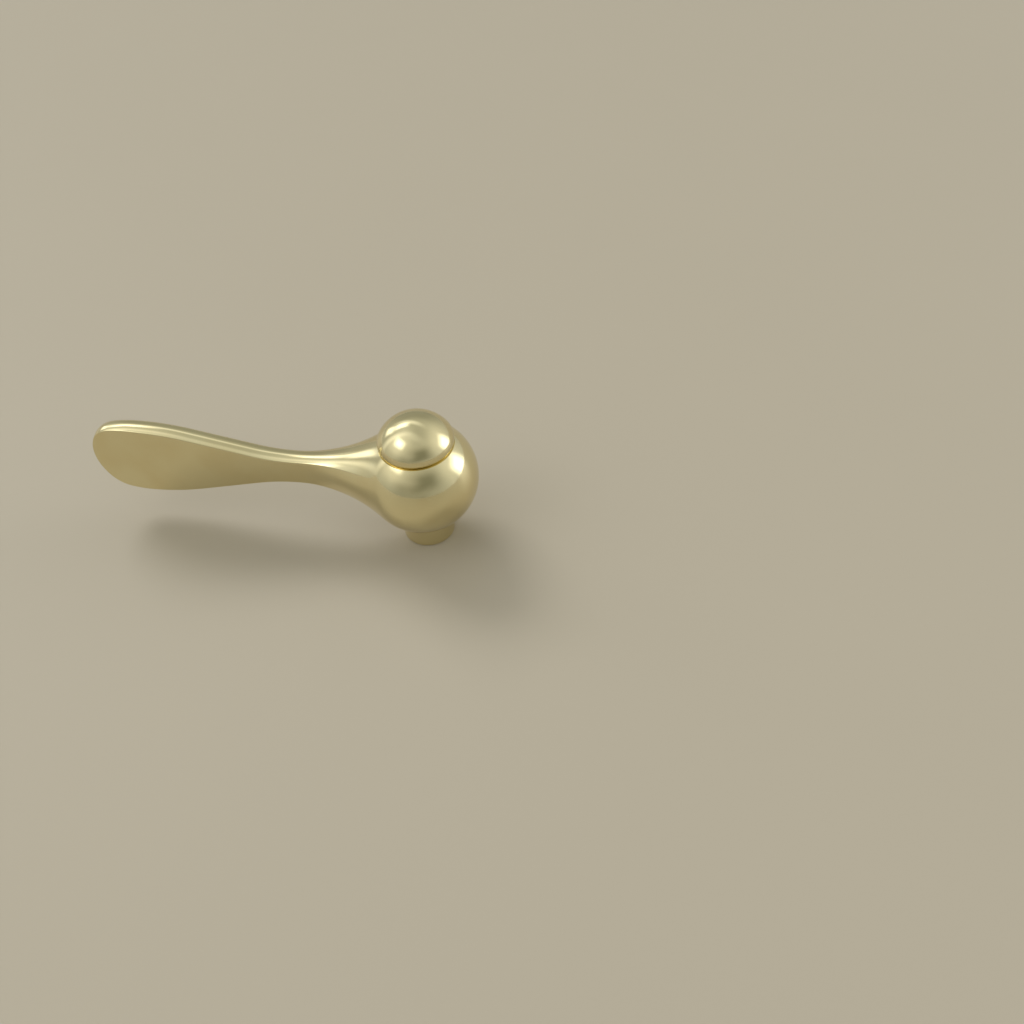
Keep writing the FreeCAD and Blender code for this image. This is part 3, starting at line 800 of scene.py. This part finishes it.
@dataclass
class FixingScrew:
    """Slotted pan-head screw with a cut thread."""

    head_foot: float
    length: float = 12.0
    radius: float = 2.0
    pitch: float = 0.7
    thread_depth: float = 0.38
    point: float = 0.5
    plain: float = 1.2
    head_radius: float = 4.0
    head_edge: float = 1.3
    head_height: float = 2.4
    slot_width: float = 1.2
    slot_depth: float = 1.0
    slot_block: float = 3.0
    thread_points: int = 190
    head_points: int = 14
    turn_points: int = 72

    def shank(self) -> np.ndarray:
        """Threaded shank and head as one turned grid.

        The thread is a triangle wave of height less the angle's share of the pitch. It fades out at the
        point and under the head.
        """
        start = self.head_foot - self.length
        height = np.linspace(start, self.head_foot - self.plain, self.thread_points)
        taper = np.clip((height - start) / self.point, 0.0, 1.0)
        core = self.radius - self.point * (1.0 - taper)
        angles = full_turn(self.turn_points)
        wave = np.mod(height[:, None] / self.pitch - angles[None, :] / (2 * math.pi), 1.0)
        tooth = np.abs(2.0 * wave - 1.0)
        fade = np.clip((self.head_foot - self.plain - height) / self.pitch, 0.0, 1.0)[:, None]
        thread = -self.thread_depth * tooth * fade * taper[:, None]
        drop = self.head_height - self.head_edge
        crown = (self.head_radius ** 2 + drop ** 2) / (2 * drop)
        first = math.degrees(math.acos(self.head_radius / crown))
        top = arc_points((0.0, self.head_foot + self.head_height - crown), crown, first, 90.0,
                         self.head_points)
        top[-1, 0] = 0.0
        under = [(self.radius, self.head_foot), (self.head_radius, self.head_foot)]
        head = np.concatenate([under, top])
        profile = np.concatenate([[(0.0, start)], np.stack([core, height], axis=1), head])
        swell = np.zeros((len(profile), len(angles)))
        swell[1:1 + len(height)] = thread
        return turned(profile, angles, swell)

    def slot(self) -> bpy.types.Object:
        """Block that cuts the driver slot: an upright section carried along the head."""
        reach, half = self.head_radius + CUT_RUN_OUT, self.slot_width / 2
        floor = self.head_foot + self.head_height - self.slot_depth
        top = floor + self.slot_block
        section = np.array([(-half, floor), (half, floor), (half, top), (-half, top)])
        end = np.broadcast_to(section.mean(axis=0), section.shape)
        closed = np.stack([end, section, section, end])
        along = np.broadcast_to(np.array([-reach, -reach, reach, reach])[:, None], closed.shape[:2])
        grid = np.stack([along, closed[..., 0], closed[..., 1]], axis=2)
        work = Patchwork("driver_slot")
        work.add(grid, wrap=True)
        return work.build()

    def build(self, steel: bpy.types.Material) -> None:
        """Turn the screw, cut its slot and dress it."""
        work = Patchwork("threaded_screw")
        work.add(self.shank(), wrap=True)
        piece = work.build()
        combine(piece, self.slot(), Cut.TAKE_AWAY)
        hand_over(piece, steel, "fixing_screw")


def dress_node(node: str, material: bpy.types.Material) -> None:
    """Give a CAD node whose shape is kept its procedural finish."""
    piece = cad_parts[node]
    piece.data.materials.clear()
    piece.data.materials.append(material)
    log.info("%s keeps its solid", node)


# Table, light and camera.

def bearing(azimuth: float, elevation: float) -> Vector:
    """Direction at an azimuth, from +X towards +Y, and an elevation, both in degrees."""
    around, up = math.radians(azimuth), math.radians(elevation)
    return Vector((math.cos(around) * math.cos(up), math.sin(around) * math.cos(up), math.sin(up)))


@dataclass(frozen=True)
class RoomPatch:
    """Soft-edged rectangle of the room round the handle that is brighter or darker than the rest.

    Azimuth runs from +X towards +Y. Angles and sizes are in degrees, seen from the handle. The softness
    is the share of a half width, in and out, over which an edge fades.
    """

    azimuth: float
    elevation: float
    width: float
    height: float
    radiance: float
    softness: float
    lean: float = 0.0
    front_fade: float = 0.05

    def axes(self) -> tuple[Vector, Vector, Vector]:
        """Directions to the patch's middle, to its side and up along it, turned by its lean."""
        middle, lean = bearing(self.azimuth, self.elevation), math.radians(self.lean)
        around = math.radians(self.azimuth)
        side = Vector((-math.sin(around), math.cos(around), 0.0))
        up = middle.cross(side)
        return (middle, side * math.cos(lean) + up * math.sin(lean),
                up * math.cos(lean) - side * math.sin(lean))

    def share(self, chain: NodeChain, direction: bpy.types.NodeSocket) -> bpy.types.NodeSocket:
        """How much of the patch a direction sees: smooth edges both ways, on the patch's own side only.

        Args:
            chain: nodes of the world.
            direction: socket of the direction that is looked at.

        Returns:
            Socket of a value from 0 to 1.
        """
        middle, side, up = self.axes()
        front = chain.math("VectorMath", "DOT_PRODUCT", direction, middle)
        share = chain.step(front, 0.0, self.front_fade)
        for axis, size in ((side, self.width), (up, self.height)):
            reach = math.sin(math.radians(size / 2))
            along = chain.math("VectorMath", "DOT_PRODUCT", direction, axis)
            away = chain.math("Math", "ABSOLUTE", along)
            inside = chain.step(away, reach * (1.0 + self.softness), reach * (1.0 - self.softness))
            share = chain.math("Math", "MULTIPLY", share, inside)
        return share


@dataclass(frozen=True)
class KeyLamp:
    """Large far lamp that throws the shadows, without a reflection of its own."""

    azimuth: float = 134.0
    elevation: float = 43.0
    distance: float = 6.0
    width: float = 2.9
    height: float = 1.7
    radiance: float = 8.0

    def place(self, target: Vector) -> None:
        """Hang the lamp in its direction from the target, with the power that its radiance needs."""
        data = bpy.data.lights.new("key_lamp", "AREA")
        data.shape = "RECTANGLE"
        data.size, data.size_y = self.width, self.height
        data.energy = self.radiance * math.pi * self.width * self.height
        lamp = bpy.data.objects.new("key_lamp", data)
        away = bearing(self.azimuth, self.elevation)
        lamp.location = target + away * self.distance
        lamp.rotation_euler = away.to_track_quat("Z", "Y").to_euler()
        lamp.visible_camera = lamp.visible_glossy = False
        bpy.context.scene.collection.objects.link(lamp)


@dataclass
class Studio:
    """Table, key lamp, surroundings and camera."""

    table_reach: float = 3.0
    table_lines: int = 9
    camera_place: tuple[float, float, float] = (0.056527, -0.168324, 0.194445)
    camera_turn: tuple[float, float, float] = (42.5865, 2.915, 8.5171)
    focal_length: float = 36.0
    sensor_width: float = 36.0
    clip_range: tuple[float, float] = (0.01, 50.0)
    horizon: tuple[float, float, float] = (0.49, 0.495, 0.455)
    zenith: tuple[float, float, float] = (0.49, 0.495, 0.445)
    patches: tuple[RoomPatch, ...] = (
        # Light on the hub's side, and the glow round it.
        RoomPatch(20.0, 8.0, 26.0, 36.0, 1.8, 0.6, 16.0),
        RoomPatch(15.0, 26.0, 60.0, 56.0, 0.4, 0.8),
        # Light on the lever's side, with the glow round it, an upright strip and a wide glow overhead.
        RoomPatch(211.0, 46.0, 25.0, 18.0, 1.5, 0.7, 15.0),
        RoomPatch(206.0, 38.0, 46.0, 60.0, 0.34, 0.7),
        RoomPatch(180.0, 32.0, 10.0, 64.0, 0.45, 0.9),
        RoomPatch(190.0, 56.0, 90.0, 50.0, 0.15, 0.8),
        # Lights behind the lever, which draw the long bright lines on its upper edge and on the flare.
        RoomPatch(142.0, 45.0, 12.0, 26.0, 1.6, 0.6, 42.0),
        RoomPatch(156.0, 22.0, 14.0, 20.0, 1.3, 0.6),
        RoomPatch(120.0, 47.0, 10.0, 50.0, 0.5, 0.8, 50.0),
        # Faint light straight above.
        RoomPatch(250.0, 82.0, 44.0, 16.0, 0.16, 0.8),
        # Dimmer parts of the room: in front, low in front, and behind.
        RoomPatch(298.0, 32.0, 46.0, 28.0, -0.26, 0.8),
        RoomPatch(255.0, 8.0, 100.0, 30.0, -0.16, 0.6),
        RoomPatch(105.0, 18.0, 60.0, 44.0, -0.17, 0.6),
    )

    def table(self) -> None:
        """Level table as a square grid."""
        lines = np.linspace(-self.table_reach, self.table_reach, self.table_lines)
        across, along = np.meshgrid(lines, lines)
        grid = np.stack([across, along, np.zeros_like(across)], axis=2)
        mesh = bpy.data.meshes.new("table")
        mesh.from_pydata(grid.reshape(-1, 3), [], grid_quads(*across.shape, wrap=False))
        piece = bpy.data.objects.new("table", mesh)
        bpy.context.scene.collection.objects.link(piece)
        piece.data.materials.append(TableTop().material())

    def surroundings(self) -> None:
        """Soft room: a gradient over height, with the lights and the dimmer parts added to it."""
        world = bpy.data.worlds.new("soft_room")
        world.use_nodes = True
        chain = NodeChain(world.node_tree)
        direction = chain.add("TexCoord").outputs["Generated"]
        height = chain.add("SeparateXYZ", Vector=direction).outputs["Z"]
        growth = Vector(self.zenith) - Vector(self.horizon)
        rise = chain.step(height, 0.0, 1.0)
        shade = chain.math("VectorMath", "MULTIPLY_ADD", rise, growth, self.horizon)
        for patch in self.patches:
            share, light = patch.share(chain, direction), (patch.radiance,) * 3
            shade = chain.math("VectorMath", "MULTIPLY_ADD", share, light, shade)
        chain.put(world.node_tree.nodes["Background"].inputs["Color"], shade)
        bpy.context.scene.world = world

    def camera(self) -> None:
        """Camera at the photograph's viewing angle, with a plain lens."""
        data = bpy.data.cameras.new("camera")
        data.sensor_width = self.sensor_width
        data.lens = self.focal_length
        data.clip_start, data.clip_end = self.clip_range
        camera = bpy.data.objects.new("camera", data)
        camera.location = self.camera_place
        camera.rotation_euler = [math.radians(turn) for turn in self.camera_turn]
        bpy.context.scene.collection.objects.link(camera)
        bpy.context.scene.camera = camera

    def build(self, target: Vector) -> None:
        """Set the stage round the handle."""
        self.table()
        self.surroundings()
        KeyLamp().place(target)
        self.camera()
        bpy.context.scene.view_settings.view_transform = "Standard"


def main() -> None:
    """Build the pieces in order, dress the kept solids and set the stage."""
    logging.basicConfig(level=logging.INFO, format="%(name)s: %(message)s")
    brass = PolishedBrass().material()
    steel = TurnedSteel().material()
    casting = Casting()
    casting.build(brass)
    IndexCap(seat=casting.seat).build(brass)
    washer_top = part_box("screw_washer")[1]
    FixingScrew(head_foot=washer_top.z / MILLIMETRE).build(steel)
    dress_node("screw_washer", steel)
    dress_node("cap_seal_ring", SealRubber().material())
    Studio().build(Vector((LAMP_AIM, 0.0, casting.ball_height * MILLIMETRE)))


if __name__ == "__main__":
    main()
